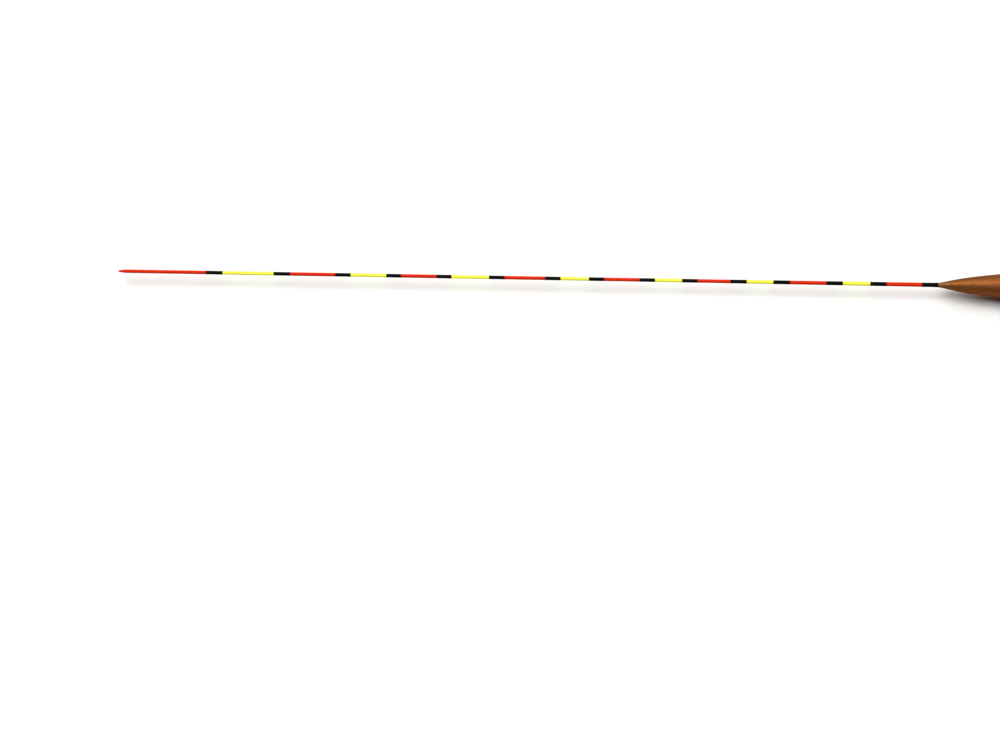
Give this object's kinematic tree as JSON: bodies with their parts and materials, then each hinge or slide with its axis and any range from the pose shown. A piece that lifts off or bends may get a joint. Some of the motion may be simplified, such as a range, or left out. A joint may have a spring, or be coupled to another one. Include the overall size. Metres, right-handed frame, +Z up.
{
  "type": "fishing float",
  "caption": "Slim pole fishing float: long thin antenna with red, yellow and black lacquer bands, glossy copper-brown spindle body and a thin carbon foot rod, lying on its belly.",
  "frame": {"origin": "below the middle of the float's length, on the surface that its belly rests on", "axes": "+X along the float's axis, from the antenna's tip to the end of the foot; +Z up; +Y across"},
  "size_m": [0.3792, 0.0088, 0.0088],
  "materials": {
    "red_lacquer": "glossy fluorescent orange-red lacquer coat",
    "yellow_lacquer": "glossy fluorescent lemon-yellow lacquer coat",
    "black_lacquer": "glossy black lacquer coat",
    "copper_lacquer": "clear gloss over copper-brown metallic lacquer with a fine flake",
    "fibreglass": "pultruded translucent white fibreglass",
    "balsa": "turned and sanded light wood",
    "carbon": "pultruded carbon rod, fine lengthwise grain, satin"
  },
  "bodies": {
    "root": {"antenna_rod": "fibreglass", "band_red_01": "red_lacquer", "band_red_02": "red_lacquer", "band_red_03": "red_lacquer", "band_red_04": "red_lacquer", "band_red_05": "red_lacquer", "band_red_06": "red_lacquer", "band_red_07": "red_lacquer", "band_red_08": "red_lacquer", "band_yellow_01": "yellow_lacquer", "band_yellow_02": "yellow_lacquer", "band_yellow_03": "yellow_lacquer", "band_yellow_04": "yellow_lacquer", "band_yellow_05": "yellow_lacquer", "band_yellow_06": "yellow_lacquer", "band_yellow_07": "yellow_lacquer", "ring_black_01": "black_lacquer", "ring_black_02": "black_lacquer", "ring_black_03": "black_lacquer", "ring_black_04": "black_lacquer", "ring_black_05": "black_lacquer", "ring_black_06": "black_lacquer", "ring_black_07": "black_lacquer", "ring_black_08": "black_lacquer", "ring_black_09": "black_lacquer", "ring_black_10": "black_lacquer", "ring_black_11": "black_lacquer", "ring_black_12": "black_lacquer", "ring_black_13": "black_lacquer", "ring_black_14": "black_lacquer", "nose_collar": "black_lacquer", "antenna_socket": "fibreglass", "body_core": "balsa", "body_lacquer": "copper_lacquer", "tail_collar": "black_lacquer", "foot_rod": "carbon"}
  },
  "joints": []
}
